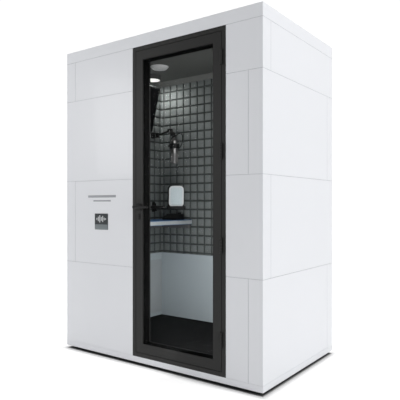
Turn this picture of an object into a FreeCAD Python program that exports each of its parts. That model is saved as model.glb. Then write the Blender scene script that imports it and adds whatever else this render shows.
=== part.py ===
import FreeCAD, Part
import math
import os

# Modular sound-isolating voice booth: white interlocking wall blocks, a glazed acoustic door, a
# foam-lined cabin with a desk, a wall screen, a tablet arm and a microphone on a boom arm.
#
# Frame: +X to the right seen from the door, +Y into the booth, +Z up, in millimetres.
# The origin is at the centre of the footprint, on the floor that the feet stand on.

# ---- driving dimensions ----------------------------------------------------------------------
booth_width = 1590.0
booth_depth = 980.0
booth_height = 2080.0          # white body, without the feet
foot_height = 20.0
wall = 90.0
base_height = 35.0
course_height = 565.0
roof_rim = 76.0
roof_slab = 44.0

door_offset = 645.0            # left outer face to the left edge of the door frame
door_width = 710.0
frame_face = 26.0
leaf_gap = 3.0
leaf_stile = 58.0
leaf_thickness = 72.0
seal_thickness = 2.7
handle_height = 1006.0         # above the floor
handle_backset = 26.0
lever_reach = 55.0             # how far the lever stands out from the front face
lever_length = 118.0

floor_thickness = 57.0
floor_sunk = 20.0              # how far the floor panel sits down into the base
carpet_thickness = 8.0
lining = 8.0                   # smooth lower lining, and how far the foam stands proud of the wall
service_depth = 48.0           # service lining on the left wall
foam_recess = 42.0
ceiling_thickness = 6.0
cove_height = 40.0
cove_width = 14.0

desk_depth = 319.0
desk_thickness = 34.0
desk_height = 900.0            # top face above the floor

running = 0.05                 # radial clearance of pins and shafts
air = 0.5                      # gap between parts that move past each other

# ---- planes worked out from them ---------------------------------------------------------------
left = -booth_width / 2
right = booth_width / 2
front = (lever_reach - booth_depth) / 2
back = front + booth_depth
bottom = foot_height
top = foot_height + booth_height
base_top = bottom + base_height
wall_top = top - roof_rim
ceiling = top - roof_slab - ceiling_thickness
floor_low = base_top - floor_sunk
floor_high = floor_low + floor_thickness
carpet_top = floor_high + carpet_thickness
foam_low = base_top + course_height
foam_high = ceiling - cove_height
slab_low = ceiling + ceiling_thickness

wall_left = left + wall                  # inner faces of the wall blocks
wall_right = right - wall
wall_front = front + wall
wall_back = back - wall
cabin_left = wall_left + service_depth   # finished inner faces
service_face = cabin_left - lining
cabin_right = wall_right - lining
cabin_front = wall_front + lining
cabin_back = wall_back - lining

door_left = left + door_offset
door_right = door_left + door_width

X = FreeCAD.Vector(1, 0, 0)
Y = FreeCAD.Vector(0, 1, 0)
Z = FreeCAD.Vector(0, 0, 1)


# ---- small helpers -----------------------------------------------------------------------------
def at(x, y, z):
    return FreeCAD.Vector(x, y, z)


def block(x0, x1, y0, y1, z0, z1):
    """A box between two corners."""
    return Part.makeBox(x1 - x0, y1 - y0, z1 - z0, at(x0, y0, z0))


def rod(start, axis, radius, length):
    """A cylinder from its start point along its axis."""
    return Part.makeCylinder(radius, length, start, axis)


def tube(start, axis, outer, inner, length):
    """A hollow cylinder."""
    return rod(start, axis, outer, length).cut(rod(start, axis, inner, length))


def rounded(shape, radius, axis):
    """Fillet the edges of a box that run along an axis."""
    chosen = [e for e in shape.Edges if abs(e.tangentAt(e.FirstParameter).dot(axis)) > 0.999]
    return shape.makeFillet(radius, chosen)


def eased(shape, size):
    """Chamfer every edge of a plain block."""
    return shape.makeChamfer(size, shape.Edges)


def turned(shape, centre, axis, degrees):
    """A copy turned about an axis through a point."""
    copy = shape.copy()
    copy.rotate(centre, axis, degrees)
    return copy


def save(name, *solids):
    """Write one node: one solid, or a group of separate solids."""
    shape = solids[0] if len(solids) == 1 else Part.makeCompound(list(solids))
    for solid in shape.Solids:
        if not solid.isValid():
            print("not valid:", name)
    shape.exportStep("parts/" + name + ".step")


# ---- base, floor and feet -------------------------------------------------------------------------
foot_radius = 32.0
foot_inset = 62.0
ledge = 20.0


def make_base():
    feet = []
    for x in (left + foot_inset, door_left + door_width / 3, right - foot_inset):
        for y in (front + foot_inset, back - foot_inset):
            feet.append(rod(at(x, y, 0), Z, foot_radius, foot_height))
    save("feet", *feet)

    ring = block(left, right, front, back, bottom, base_top)
    ring = ring.cut(block(wall_left, wall_right, wall_front, wall_back, floor_low, base_top))
    ring = ring.cut(block(wall_left + ledge, wall_right - ledge, wall_front + ledge, wall_back - ledge,
                          bottom, floor_low))
    save("base_frame", ring)

    save("floor_panel", block(wall_left, wall_right, wall_front, wall_back, floor_low, floor_high))
    save("carpet", block(cabin_left, cabin_right, cabin_front, cabin_back, floor_high, carpet_top))


# ---- foam and linings --------------------------------------------------------------------------------
foam_door_margin = 25.0
foam_back = (wall_left, cabin_right, cabin_back, cabin_back + lining + foam_recess, foam_low, foam_high)
foam_left = (wall_left, cabin_left, cabin_front, cabin_back, foam_low, foam_high)
foam_right = (cabin_right, cabin_right + lining + foam_recess, cabin_front, cabin_back, foam_low, foam_high)
foam_front = (cabin_left, door_left - foam_door_margin, cabin_front - lining - foam_recess, cabin_front,
              foam_low, foam_high)


def make_foam():
    save("foam_panels", block(*foam_back), block(*foam_left), block(*foam_right), block(*foam_front))


def make_linings():
    rear = block(cabin_left, wall_right, cabin_back, wall_back, floor_high, foam_low).cut(port_hole())
    right_side = block(cabin_right, wall_right, cabin_front, cabin_back, floor_high, foam_low)
    door_side = block(cabin_left, door_left, wall_front, cabin_front, floor_high, foam_low)
    fan_opening = rod(at(service_face, fan_y, fan_z), X, fan_bore, lining)
    left_side = block(service_face, cabin_left, cabin_front, cabin_back, floor_high, foam_low)
    save("wall_linings", rear, right_side, door_side, left_side.cut(fan_opening))


# ---- wall blocks -------------------------------------------------------------------------------------
seam_chamfer = 1.5
intake_radius = 50.0
sleeve_wall = 3.0
intake_y = front + 640.0
intake_z = 320.0
port_radius = 20.0
port_x = 450.0
port_z = 420.0


def course_levels():
    """Bottom and top of each course; the last one is what is left under the roof."""
    levels = []
    low = base_top
    while low < wall_top - seam_chamfer:
        high = min(low + course_height, wall_top)
        levels.append((low, high))
        low = high
    return levels


def intake_hole():
    return rod(at(left, intake_y, intake_z), X, intake_radius + sleeve_wall, wall)


def port_hole():
    return rod(at(port_x, cabin_back, port_z), Y, port_radius + sleeve_wall, back - cabin_back)


def make_walls():
    """Each course turns the corners the other way round from the one below, so the blocks interlock."""
    pockets = {"front_wall_blocks": block(*foam_front), "right_wall_blocks": block(*foam_right),
               "back_wall_blocks": block(*foam_back).fuse(port_hole()), "left_wall_blocks": intake_hole()}
    walls = {name: [] for name in pockets}
    for number, (low, high) in enumerate(course_levels()):
        lap = wall if number % 2 else 0.0      # 0 where the front wall runs through on the left
        other = wall - lap
        walls["front_wall_blocks"].append((left + lap, door_left, front, wall_front, low, high))
        walls["front_wall_blocks"].append((door_right, right - other, front, wall_front, low, high))
        walls["right_wall_blocks"].append((wall_right, right, front + lap, back - other, low, high))
        walls["back_wall_blocks"].append((left + other, right - lap, wall_back, back, low, high))
        walls["left_wall_blocks"].append((left, wall_left, front + other, back - lap, low, high))
    for name, corners in walls.items():
        blocks = [eased(block(*corner), seam_chamfer).cut(pockets[name]) for corner in corners]
        save(name, *[shape.Solids[0] for shape in blocks])

    intake = tube(at(left, intake_y, intake_z), X, intake_radius + sleeve_wall, intake_radius, wall)
    port = tube(at(port_x, cabin_back, port_z), Y, port_radius + sleeve_wall, port_radius, back - cabin_back)
    save("wall_sleeves", intake, port)


# ---- roof, ceiling and exhaust ---------------------------------------------------------------------
lamp_x = -573.0
lamp_y = front + 670.0
lamp_radius = 66.0
lamp_drop = 36.0
lamp_rim = 7.0
lamp_back = 8.0                # thickness of the housing above the diffuser
diffuser_thickness = 3.0
diffuser_lift = 1.0            # how far the diffuser sits up inside the rim
valve_x = -358.0
valve_y = front + 505.0
valve_ring_radius = 68.0
valve_ring_drop = 16.0
valve_ring_flare = 14.0
valve_throat = 44.0
valve_wall = 4.0
valve_spigot = 6.0             # how far the ring reaches up past the ceiling panel
guide_radius = 7.0
spoke_half = 2.0
stem_radius = 4.0
disc_thickness = 7.0
disc_bevel = 12.0
disc_drop = 3.0                # how far the closed disc hangs below the ring
duct_width = 100.0            # takes the valve's spigot
duct_height = 26.0
grille_plate = 4.0
exhaust_slots = 8


def make_roof():
    """A skin over rim and core boards; the boards leave the exhaust duct between them."""
    skin_low = slab_low + duct_height
    duct_left = valve_x - duct_width / 2
    duct_right = valve_x + duct_width / 2
    duct_front = valve_y - duct_width / 2
    boards = (
        block(left, right, front, back, skin_low, top),                                # skin
        block(left, right, front, wall_front, wall_top, skin_low),                     # rim
        block(left, wall_left, wall_front, back, wall_top, skin_low),
        block(wall_right, right, wall_front, back, wall_top, skin_low),
        block(wall_left, duct_left, wall_back, back, wall_top, skin_low),
        block(duct_right, wall_right, wall_back, back, wall_top, skin_low),
        block(duct_left, duct_right, wall_back, back, wall_top, slab_low),             # under the duct's mouth
        block(wall_left, duct_left, wall_front, wall_back, slab_low, skin_low),        # core
        block(duct_right, wall_right, wall_front, wall_back, slab_low, skin_low),
        block(duct_left, duct_right, wall_front, duct_front, slab_low, skin_low),
    )
    outside = eased(block(left, right, front, back, wall_top, top), seam_chamfer)
    save("roof_panel", *[board.common(outside).Solids[0] for board in boards])

    throat = rod(at(valve_x, valve_y, ceiling), Z, valve_throat, ceiling_thickness)
    panel = block(wall_left, wall_right, wall_front, wall_back, ceiling, slab_low).cut(throat)
    save("ceiling_panel", panel)

    outer = block(wall_left, wall_right, wall_front, wall_back, foam_high, ceiling)
    hollow = Part.makeLoft([cabin_outline(foam_high, 0.0), cabin_outline(ceiling, cove_width)], True, True)
    save("ceiling_cove", outer.cut(hollow))


def cabin_outline(z, inset):
    """The cabin's rectangle at a height, drawn in on every side."""
    x0, x1 = cabin_left + inset, cabin_right - inset
    y0, y1 = cabin_front + inset, cabin_back - inset
    return Part.makePolygon([at(x0, y0, z), at(x1, y0, z), at(x1, y1, z), at(x0, y1, z), at(x0, y0, z)])


def exhaust_grille():
    """The slotted cover over the duct's mouth in the back of the roof."""
    outside = back - grille_plate
    grille = block(valve_x - duct_width / 2, valve_x + duct_width / 2, outside, back,
                   slab_low, slab_low + duct_height)
    pitch = duct_width / exhaust_slots
    for number in range(exhaust_slots):
        middle = valve_x - duct_width / 2 + pitch * (number + 0.5)
        grille = grille.cut(block(middle - pitch / 4, middle + pitch / 4, outside, back,
                                  slab_low + grille_plate, slab_low + duct_height - grille_plate))
    return grille


def make_lamp():
    low = ceiling - lamp_drop
    inner_radius = lamp_radius - lamp_rim
    body = rod(at(lamp_x, lamp_y, low), Z, lamp_radius, lamp_drop)
    save("lamp_housing", body.cut(rod(at(lamp_x, lamp_y, low), Z, inner_radius, lamp_drop - lamp_back)))
    save("lamp_diffuser", rod(at(lamp_x, lamp_y, low + diffuser_lift), Z, inner_radius, diffuser_thickness))


def make_valve():
    """The ring is fixed; the disc's stem screws up and down in the guide to meter the air."""
    low = ceiling - valve_ring_drop
    bore = valve_throat - valve_wall
    full_height = valve_ring_drop + ceiling_thickness + valve_spigot
    ring = Part.makeCone(valve_ring_radius - valve_ring_flare, valve_ring_radius, valve_ring_drop,
                         at(valve_x, valve_y, low), Z)
    ring = ring.fuse(rod(at(valve_x, valve_y, ceiling), Z, valve_throat, ceiling_thickness + valve_spigot))
    ring = ring.cut(rod(at(valve_x, valve_y, low), Z, bore, full_height))
    spoke_reach = valve_throat - valve_wall / 4      # the spokes end inside the ring's wall
    spokes = block(valve_x - spoke_reach, valve_x + spoke_reach, valve_y - spoke_half, valve_y + spoke_half,
                   ceiling, ceiling + ceiling_thickness)
    guide = rod(at(valve_x, valve_y, ceiling), Z, guide_radius, ceiling_thickness + valve_spigot)
    ring = ring.fuse(spokes).fuse(guide)
    ring = ring.cut(rod(at(valve_x, valve_y, low), Z, stem_radius + running, full_height))
    save("vent_valve_ring", ring.removeSplitter())

    disc_low = at(valve_x, valve_y, low - disc_drop)
    disc = Part.makeCone(valve_throat - disc_bevel, bore - air, disc_thickness, disc_low, Z)
    save("vent_valve_disc", disc.fuse(rod(disc_low, Z, stem_radius, full_height)).removeSplitter())


# ---- intake fan and silencer behind the left service lining -----------------------------------------
fan_size = 120.0
fan_depth = 25.0
fan_y = front + 260.0
fan_z = 300.0
fan_bore = 56.0
fan_strut = 5.0
fan_plate = 4.0                # thickness of the struts and the motor
hub_radius = 18.0
shaft_radius = 3.0
blade_count = 7
blade_thickness = 2.0
blade_pitch = 35.0
blade_margin = 2.0             # kept from the hub's ends and from the bore
grille_half = 70.0
grille_corner = 8.0
grille_slots = 9
grille_pitch = 13.0
slot_half_length = 56.0
slot_half_height = 3.0
baffle_thickness = 30.0
baffle_gap = 140.0             # the opening left under one baffle and over the next
baffle_distances = (120.0, 190.0, 260.0)


def make_ventilation():
    low = service_face - fan_depth
    hub_middle = at(low, fan_y, fan_z)
    housing = block(low, service_face, fan_y - fan_size / 2, fan_y + fan_size / 2,
                    fan_z - fan_size / 2, fan_z + fan_size / 2)
    housing = housing.cut(rod(hub_middle, X, fan_bore, fan_depth))
    for turn in (0, 120, 240):
        bar = block(low, low + fan_plate, fan_y - fan_strut / 2, fan_y + fan_strut / 2,
                    fan_z, fan_z + fan_bore + blade_margin)
        housing = housing.fuse(turned(bar, hub_middle, X, turn))
    motor = rod(hub_middle, X, hub_radius, fan_plate)
    shaft = rod(hub_middle, X, shaft_radius, fan_depth - fan_plate)
    save("fan_housing", housing.fuse(motor).fuse(shaft).removeSplitter())

    hub_start = low + fan_plate + air
    hub_length = fan_depth - fan_plate - blade_margin
    rotor = rod(at(hub_start, fan_y, fan_z), X, hub_radius, hub_length)
    for number in range(blade_count):
        blade = block(hub_start + blade_margin, hub_start + hub_length - blade_margin,
                      fan_y - blade_thickness / 2, fan_y + blade_thickness / 2,
                      fan_z + hub_radius - blade_margin, fan_z + fan_bore - blade_margin)
        blade = turned(blade, at(hub_start + hub_length / 2, fan_y, fan_z), Z, blade_pitch)
        rotor = rotor.fuse(turned(blade, hub_middle, X, 360.0 * number / blade_count))
    rotor = rotor.cut(rod(at(hub_start, fan_y, fan_z), X, shaft_radius + running, hub_length))
    save("fan_rotor", rotor.removeSplitter())

    grille_face = cabin_left + grille_plate
    grille = block(cabin_left, grille_face, fan_y - grille_half, fan_y + grille_half,
                   fan_z - grille_half, fan_z + grille_half)
    grille = rounded(grille, grille_corner, X)
    for number in range(grille_slots):
        level = fan_z + (number - (grille_slots - 1) / 2) * grille_pitch
        slot = block(cabin_left, grille_face, fan_y - slot_half_length, fan_y + slot_half_length,
                     level - slot_half_height, level + slot_half_height)
        grille = grille.cut(slot)
    save("air_grilles", grille, exhaust_grille())

    baffles = []
    for number, distance in enumerate(baffle_distances):
        start = fan_y + distance
        low_z = floor_high if number % 2 == 0 else floor_high + baffle_gap
        high_z = foam_low - baffle_gap if number % 2 == 0 else foam_low
        baffles.append(block(wall_left, service_face, start, start + baffle_thickness, low_z, high_z))
    save("silencer_baffles", *baffles)


# ---- door --------------------------------------------------------------------------------------------
stop_width = 12.0
recess_play = 0.3              # between the leaf, the seal and the stop
latch_relief = 3.0
seal_margin = 1.0
flange = 20.0
outer_glass_depth = 4.0
outer_glass_thickness = 8.0
inner_glass_depth = 58.0
inner_glass_thickness = 6.0
glass_bite = 10.0
liner_thickness = 2.0
leaf_left = door_left + frame_face + leaf_gap
leaf_right = door_right - frame_face - leaf_gap
leaf_low = base_top + frame_face + leaf_gap
leaf_high = wall_top - frame_face - leaf_gap
glass_left = leaf_left + leaf_stile
glass_right = leaf_right - leaf_stile
glass_low = leaf_low + leaf_stile
glass_high = leaf_high - leaf_stile

hinge_x = door_right - frame_face - leaf_gap / 2
barrel_radius = 6.0
hinge_y = front - barrel_radius - 1.0
pin_radius = 3.0
pin_cap = 2.0
barrel_height = 86.0
knuckle_count = 5
hinge_leaf_edge = 1.0          # from the hinge axis to the plate
hinge_leaf_width = 15.0
hinge_leaf_plate = 1.0
tab_width = 5.0
tab_depth = 3.0
hinge_levels = (260.0, 790.0, 1320.0, 1850.0)

spindle_half = 4.0
spindle_hole = 6.0             # radius that lets the square spindle turn
spindle_tunnel = 8.0           # radius of the hole through the leaf
outer_rose_radius = 25.0
inner_rose_radius = 13.0       # clears the door stop
rose_thickness = 7.0
lever_radius = 8.0
inner_lever_less = 5.0         # the inner lever stands out this much less than the outer one
handle_x = leaf_left + handle_backset
bolt_throw = 10.0
bolt_height = 20.0
bolt_thickness = 12.0
bolt_depth = 36.0              # middle of the bolt behind the front face
bolt_drop = 50.0               # middle of the bolt below the lever
bolt_play = 0.4
bolt_room = 2.0                # behind the drawn bolt
case_height = 150.0
case_width = 40.0
case_thickness = 16.0
strike_thickness = 2.0
strike_half_width = 14.0
strike_height = 100.0
keep_play = 1.5
keep_room = 3.0                # beyond the thrown bolt


def pane(depth, thickness):
    return block(glass_left - glass_bite, glass_right + glass_bite, front + depth, front + depth + thickness,
                 glass_low - glass_bite, glass_high + glass_bite)


def lock_pocket():
    return block(leaf_left, leaf_left + case_width, front + bolt_depth - case_thickness / 2,
                 front + bolt_depth + case_thickness / 2, handle_height - case_height / 2,
                 handle_height + case_height / 2)


def bolt_block(start, end, play):
    """The bolt's shape between two places, grown by a clearance."""
    middle_y = front + bolt_depth
    middle_z = handle_height - bolt_drop
    return block(start, end, middle_y - bolt_thickness / 2 - play, middle_y + bolt_thickness / 2 + play,
                 middle_z - bolt_height / 2 - play, middle_z + bolt_height / 2 + play)


def hinge_leaf(level, side, knuckles):
    """A thin plate on the face, joined to its knuckles by short tabs."""
    low_end = level - barrel_height / 2
    high_end = level + barrel_height / 2
    edge = hinge_x + side * hinge_leaf_edge
    near, far = sorted((edge, edge + side * hinge_leaf_width))
    tab_near, tab_far = sorted((hinge_x, hinge_x + side * tab_width))
    leaf = block(near, far, front - hinge_leaf_plate, front, low_end, high_end)
    knuckle = barrel_height / knuckle_count
    for number in range(knuckle_count):
        low = low_end + knuckle * number
        if number in knuckles:
            start = low + air / 2
            height = knuckle - air
            leaf = leaf.fuse(block(tab_near, tab_far, front - tab_depth, front - air, start, start + height))
            leaf = leaf.fuse(rod(at(hinge_x, hinge_y, start), Z, barrel_radius, height))
        else:
            leaf = leaf.cut(rod(at(hinge_x, hinge_y, low - air / 2), Z, barrel_radius + air, knuckle + air))
    leaf = leaf.cut(rod(at(hinge_x, hinge_y, low_end), Z, pin_radius + running, barrel_height))
    return leaf.removeSplitter()


def make_door_frame():
    ring = block(door_left, door_right, front, wall_front, base_top, wall_top)
    recess_back = front + leaf_thickness + seal_thickness + recess_play
    ring = ring.cut(block(door_left + frame_face, door_right - frame_face, front, recess_back,
                          base_top + frame_face, wall_top - frame_face))
    side = frame_face + stop_width
    ring = ring.cut(block(door_left + side, door_right - side, recess_back, wall_front,
                          base_top + side, wall_top - side))
    edge = door_left + frame_face
    strike = block(edge - strike_thickness, edge, front + bolt_depth - strike_half_width,
                   front + bolt_depth + strike_half_width, handle_height - strike_height, handle_height)
    keep = bolt_block(edge - bolt_throw - keep_room, edge, keep_play)
    save("door_frame", ring.cut(strike).cut(keep))
    save("strike_plate", strike.cut(keep))

    seal_low = front + leaf_thickness + recess_play
    seal = block(door_left + frame_face, door_right - frame_face, seal_low, recess_back,
                 base_top + frame_face, wall_top - frame_face)
    inner = side - seal_margin
    seal = seal.cut(block(door_left + inner, door_right - inner, seal_low, recess_back,
                          base_top + inner, wall_top - inner))
    save("door_seal", seal)


def make_door_leaf():
    leaf = block(leaf_left, leaf_right, front, front + leaf_thickness, leaf_low, leaf_high)
    leaf = leaf.cut(block(glass_left, glass_right, front, front + leaf_thickness, glass_low, glass_high))
    leaf = leaf.cut(block(leaf_left, leaf_left + latch_relief, front + flange, front + leaf_thickness,
                          leaf_low, leaf_high))
    leaf = leaf.cut(pane(outer_glass_depth, outer_glass_thickness))
    leaf = leaf.cut(pane(inner_glass_depth, inner_glass_thickness))
    leaf = leaf.cut(lock_pocket())
    save("door_leaf", leaf.cut(rod(at(handle_x, front, handle_height), Y, spindle_tunnel, leaf_thickness)))
    save("door_panes", pane(outer_glass_depth, outer_glass_thickness),
         pane(inner_glass_depth, inner_glass_thickness))

    liner_low = front + outer_glass_depth + outer_glass_thickness
    liner_high = front + inner_glass_depth
    liner = block(glass_left, glass_right, liner_low, liner_high, glass_low, glass_high)
    hollow = block(glass_left + liner_thickness, glass_right - liner_thickness, liner_low, liner_high,
                   glass_low + liner_thickness, glass_high - liner_thickness)
    save("glazing_liner", liner.cut(hollow))


def make_hinges():
    fixed = (0, 2, 4)
    swinging = (1, 3)
    save("hinge_frame_leaves", *[hinge_leaf(level, 1.0, fixed) for level in hinge_levels])
    save("hinge_door_leaves", *[hinge_leaf(level, -1.0, swinging) for level in hinge_levels])
    pins = []
    for level in hinge_levels:
        low_end = level - barrel_height / 2
        pin = rod(at(hinge_x, hinge_y, low_end), Z, pin_radius, barrel_height)
        for end in (low_end - pin_cap, low_end + barrel_height):
            pin = pin.fuse(rod(at(hinge_x, hinge_y, end), Z, barrel_radius, pin_cap))
        pins.append(pin.removeSplitter())
    save("hinge_pins", *pins)


def lever(face, outward, reach):
    """A lever: a neck out of the rose, then a straight grip towards the hinges."""
    start = face + outward * rose_thickness
    level = face + outward * (reach - lever_radius)
    grip_start = handle_x - lever_radius
    neck = rod(at(handle_x, start, handle_height), Y * outward, lever_radius, reach - rose_thickness)
    grip = rod(at(grip_start, level, handle_height), X, lever_radius, lever_length)
    grip = grip.fuse(Part.makeSphere(lever_radius, at(grip_start + lever_length, level, handle_height)))
    socket = block(handle_x - spindle_half, handle_x + spindle_half, min(start, level), max(start, level),
                   handle_height - spindle_half, handle_height + spindle_half)
    return neck.fuse(grip).cut(socket).removeSplitter(), level


def make_handle():
    inner_face = front + leaf_thickness
    outer, outer_level = lever(front, -1.0, lever_reach)
    inner, inner_level = lever(inner_face, 1.0, lever_reach - inner_lever_less)
    save("levers", outer, inner)
    save("lever_spindle", block(handle_x - spindle_half, handle_x + spindle_half, outer_level, inner_level,
                                handle_height - spindle_half, handle_height + spindle_half))
    roses = []
    rose_height = rose_thickness - air
    for start, radius in ((front - rose_height, outer_rose_radius), (inner_face, inner_rose_radius)):
        roses.append(tube(at(handle_x, start, handle_height), Y, radius, spindle_hole, rose_height))
    save("handle_roses", *roses)

    case = lock_pocket().cut(rod(at(handle_x, front, handle_height), Y, spindle_hole, leaf_thickness))
    bolt_end = handle_x + spindle_half
    save("lock_case", case.cut(bolt_block(leaf_left, bolt_end + bolt_room, bolt_play)))
    save("latch_bolt", bolt_block(leaf_left, bolt_end, 0.0))     # drawn back: lifting the lever throws it


# ---- desk ---------------------------------------------------------------------------------------------
cleat_width = 25.0
cleat_height = 35.0
rear_cleat_short = 20.0        # how far the rear cleat stops short of the desk's edge
desk_round = 3.0
desk_low = desk_height - desk_thickness
desk_right = cabin_left + desk_depth


def make_desk():
    desk = block(cabin_left, desk_right, cabin_front, cabin_back, desk_low, desk_height)
    outer = [e for e in desk.Edges if e.BoundBox.XMin > desk_right - air and e.BoundBox.YLength > desk_round]
    save("desk_top", desk.makeFillet(desk_round, outer))
    cleat_low = desk_low - cleat_height
    side = block(cabin_left, cabin_left + cleat_width, cabin_front, cabin_back, cleat_low, desk_low)
    rear = block(cabin_left + cleat_width, desk_right - rear_cleat_short, cabin_back - cleat_width,
                 cabin_back, cleat_low, desk_low)
    save("desk_cleats", side, rear)


# ---- wall screen ----------------------------------------------------------------------------------------
screen_width = 540.0
screen_tall = 352.0
screen_thickness = 18.0
screen_tilt = 14.0
screen_y = front + 470.0
screen_z = 1795.0
screen_pivot_x = -628.0
screen_face = 34.0             # pivot to front glass
ear_gap = 50.0
ear_thickness = 6.0
trunnion_radius = 5.0
bracket_half = 60.0
bracket_plate = 5.0
ear_half_height = 12.0
ear_nose = 8.0                 # beyond the pivot
lug_half_height = 7.0
screen_corner = 8.0
screen_bezel = 9.0
screen_glass_depth = 2.0


def make_screen():
    pivot = at(screen_pivot_x, screen_y, screen_z)
    plate = block(cabin_left, cabin_left + bracket_plate, screen_y - bracket_half, screen_y + bracket_half,
                  screen_z - bracket_half, screen_z + bracket_half)
    for side in (-1, 1):
        inner = screen_y + side * ear_gap / 2
        outer = inner + side * ear_thickness
        ear = block(cabin_left + bracket_plate, screen_pivot_x + ear_nose, min(inner, outer),
                    max(inner, outer), screen_z - ear_half_height, screen_z + ear_half_height)
        plate = plate.fuse(ear)
    bore = rod(at(screen_pivot_x, screen_y - bracket_half, screen_z), Y, trunnion_radius + running,
               2 * bracket_half)
    save("screen_bracket", plate.cut(bore).removeSplitter())

    face = screen_pivot_x + screen_face
    rear = face - screen_thickness
    body = block(rear, face, screen_y - screen_width / 2, screen_y + screen_width / 2,
                 screen_z - screen_tall / 2, screen_z + screen_tall / 2)
    body = rounded(body, screen_corner, X)
    lug_half = ear_gap / 2 - air
    lug = block(screen_pivot_x - lug_half_height, rear, screen_y - lug_half, screen_y + lug_half,
                screen_z - lug_half_height, screen_z + lug_half_height)
    trunnion_half = ear_gap / 2 + ear_thickness
    trunnion = rod(at(screen_pivot_x, screen_y - trunnion_half, screen_z), Y, trunnion_radius,
                   2 * trunnion_half)
    half_width = screen_width / 2 - screen_bezel
    half_tall = screen_tall / 2 - screen_bezel
    glass = block(face - screen_glass_depth, face, screen_y - half_width, screen_y + half_width,
                  screen_z - half_tall, screen_z + half_tall)
    housing = body.cut(glass).fuse(lug).fuse(trunnion).removeSplitter()
    save("screen_housing", turned(housing, pivot, Y, screen_tilt))
    save("screen_glass", turned(glass, pivot, Y, screen_tilt))


# ---- microphone boom --------------------------------------------------------------------------------------
# The boom and the microphone are built in the boom's own frame, with its mast on the vertical axis,
# X along the arm and Y across it, and boom_placed() then sets them in the booth.
boom_x = -607.0
boom_y = front + 770.0
boom_z = 1588.0
boom_turn = -30.3              # direction of the arm about +Z, at rest
boom_plate = 44.0              # side of the square wall plate
boom_plate_thickness = 8.0
boom_shelf = 6.0
shelf_gap_half = 12.0
shelf_half_width = 13.0
collar_radius = 14.0
mast_radius = 9.0
boom_radius = 7.0
link_radius = 6.0
elbow_reach = 306.0
link_reach = 58.0
link_fall = 40.0
link_pitch = math.degrees(math.atan2(link_fall, link_reach))
head_reach = elbow_reach + link_reach
head_z = boom_z - link_fall
slot_half = 9.0
cheek = 5.0
drum_radius = 13.0
slot_radius = drum_radius + 1.5
fork_length = 28.0
fork_bite = 4.0                # how far a tube runs into its fork
fork_half_height = 10.0
knob_size = 11.0               # radius and length of the clamping knobs
pivot_radius = 4.0


def boom_placed(shape):
    shape = shape.copy()
    shape.rotate(at(0, 0, 0), Z, boom_turn)
    shape.translate(at(boom_x, boom_y, 0))
    return shape


def cross(x, z, radius, half):
    """A cylinder across the boom, centred on a pivot."""
    return rod(at(x, -half, z), Y, radius, 2 * half)


def fork(x, z, pitch):
    """A clevis that reaches back from its pivot: two cheeks joined behind a round slot."""
    outer = slot_half + cheek
    clevis = cross(x, z, drum_radius, outer)
    clevis = clevis.fuse(block(x - fork_length, x, -outer, outer, z - fork_half_height,
                                z + fork_half_height))
    clevis = clevis.cut(cross(x, z, slot_radius, slot_half))
    clevis = clevis.cut(block(x - 1.0, x + drum_radius, -slot_half, slot_half,
                              z - slot_radius, z + slot_radius))
    clevis = clevis.cut(cross(x, z, pivot_radius + running, outer + 1.0))
    return turned(clevis, at(x, 0, z), Y, pitch)


def eye(x, z):
    """The round end that turns in a fork, with its pivot pin."""
    drum = cross(x, z, drum_radius, slot_half - air)
    return drum.fuse(cross(x, z, pivot_radius, slot_half + cheek - air))


def knob(x, z):
    """The clamping knob on the near cheek of a fork."""
    return rod(at(x, -slot_half - cheek + air, z), -Y, knob_size, knob_size)


def make_boom():
    plate_face = cabin_left + boom_plate_thickness
    base = block(cabin_left, plate_face, boom_y - boom_plate / 2, boom_y + boom_plate / 2,
                 boom_z - boom_plate / 2, boom_z + boom_plate / 2)
    base = rounded(base, boom_shelf, X)
    shelf_low = boom_z - shelf_gap_half - boom_shelf
    mast_length = 2 * (shelf_gap_half + boom_shelf)
    for level in (shelf_low, boom_z + shelf_gap_half):
        base = base.fuse(block(plate_face, boom_x + shelf_half_width, boom_y - shelf_half_width,
                               boom_y + shelf_half_width, level, level + boom_shelf))
    mast_hole = rod(at(boom_x, boom_y, shelf_low), Z, mast_radius + running, mast_length)
    save("boom_base", base.cut(mast_hole).removeSplitter())

    arm = rod(at(0, 0, shelf_low), Z, mast_radius, mast_length)
    collar_low = boom_z - shelf_gap_half + air
    arm = arm.fuse(rod(at(0, 0, collar_low), Z, collar_radius, 2 * (shelf_gap_half - air)))
    arm = arm.fuse(rod(at(0, 0, boom_z), X, boom_radius, elbow_reach - fork_length + fork_bite))
    arm = arm.fuse(fork(elbow_reach, boom_z, 0.0)).fuse(knob(elbow_reach, boom_z))
    save("boom_arm", boom_placed(arm.removeSplitter()))

    stem_start = drum_radius - 3.0
    stem = rod(at(elbow_reach + stem_start, 0, boom_z), X, link_radius,
               math.hypot(link_reach, link_fall) - stem_start - fork_length + fork_bite)
    stem = turned(stem, at(elbow_reach, 0, boom_z), Y, link_pitch)
    link = eye(elbow_reach, boom_z).fuse(stem).fuse(fork(head_reach, head_z, link_pitch))
    link = link.fuse(knob(head_reach, head_z))
    save("boom_link", boom_placed(link.removeSplitter()))


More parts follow.
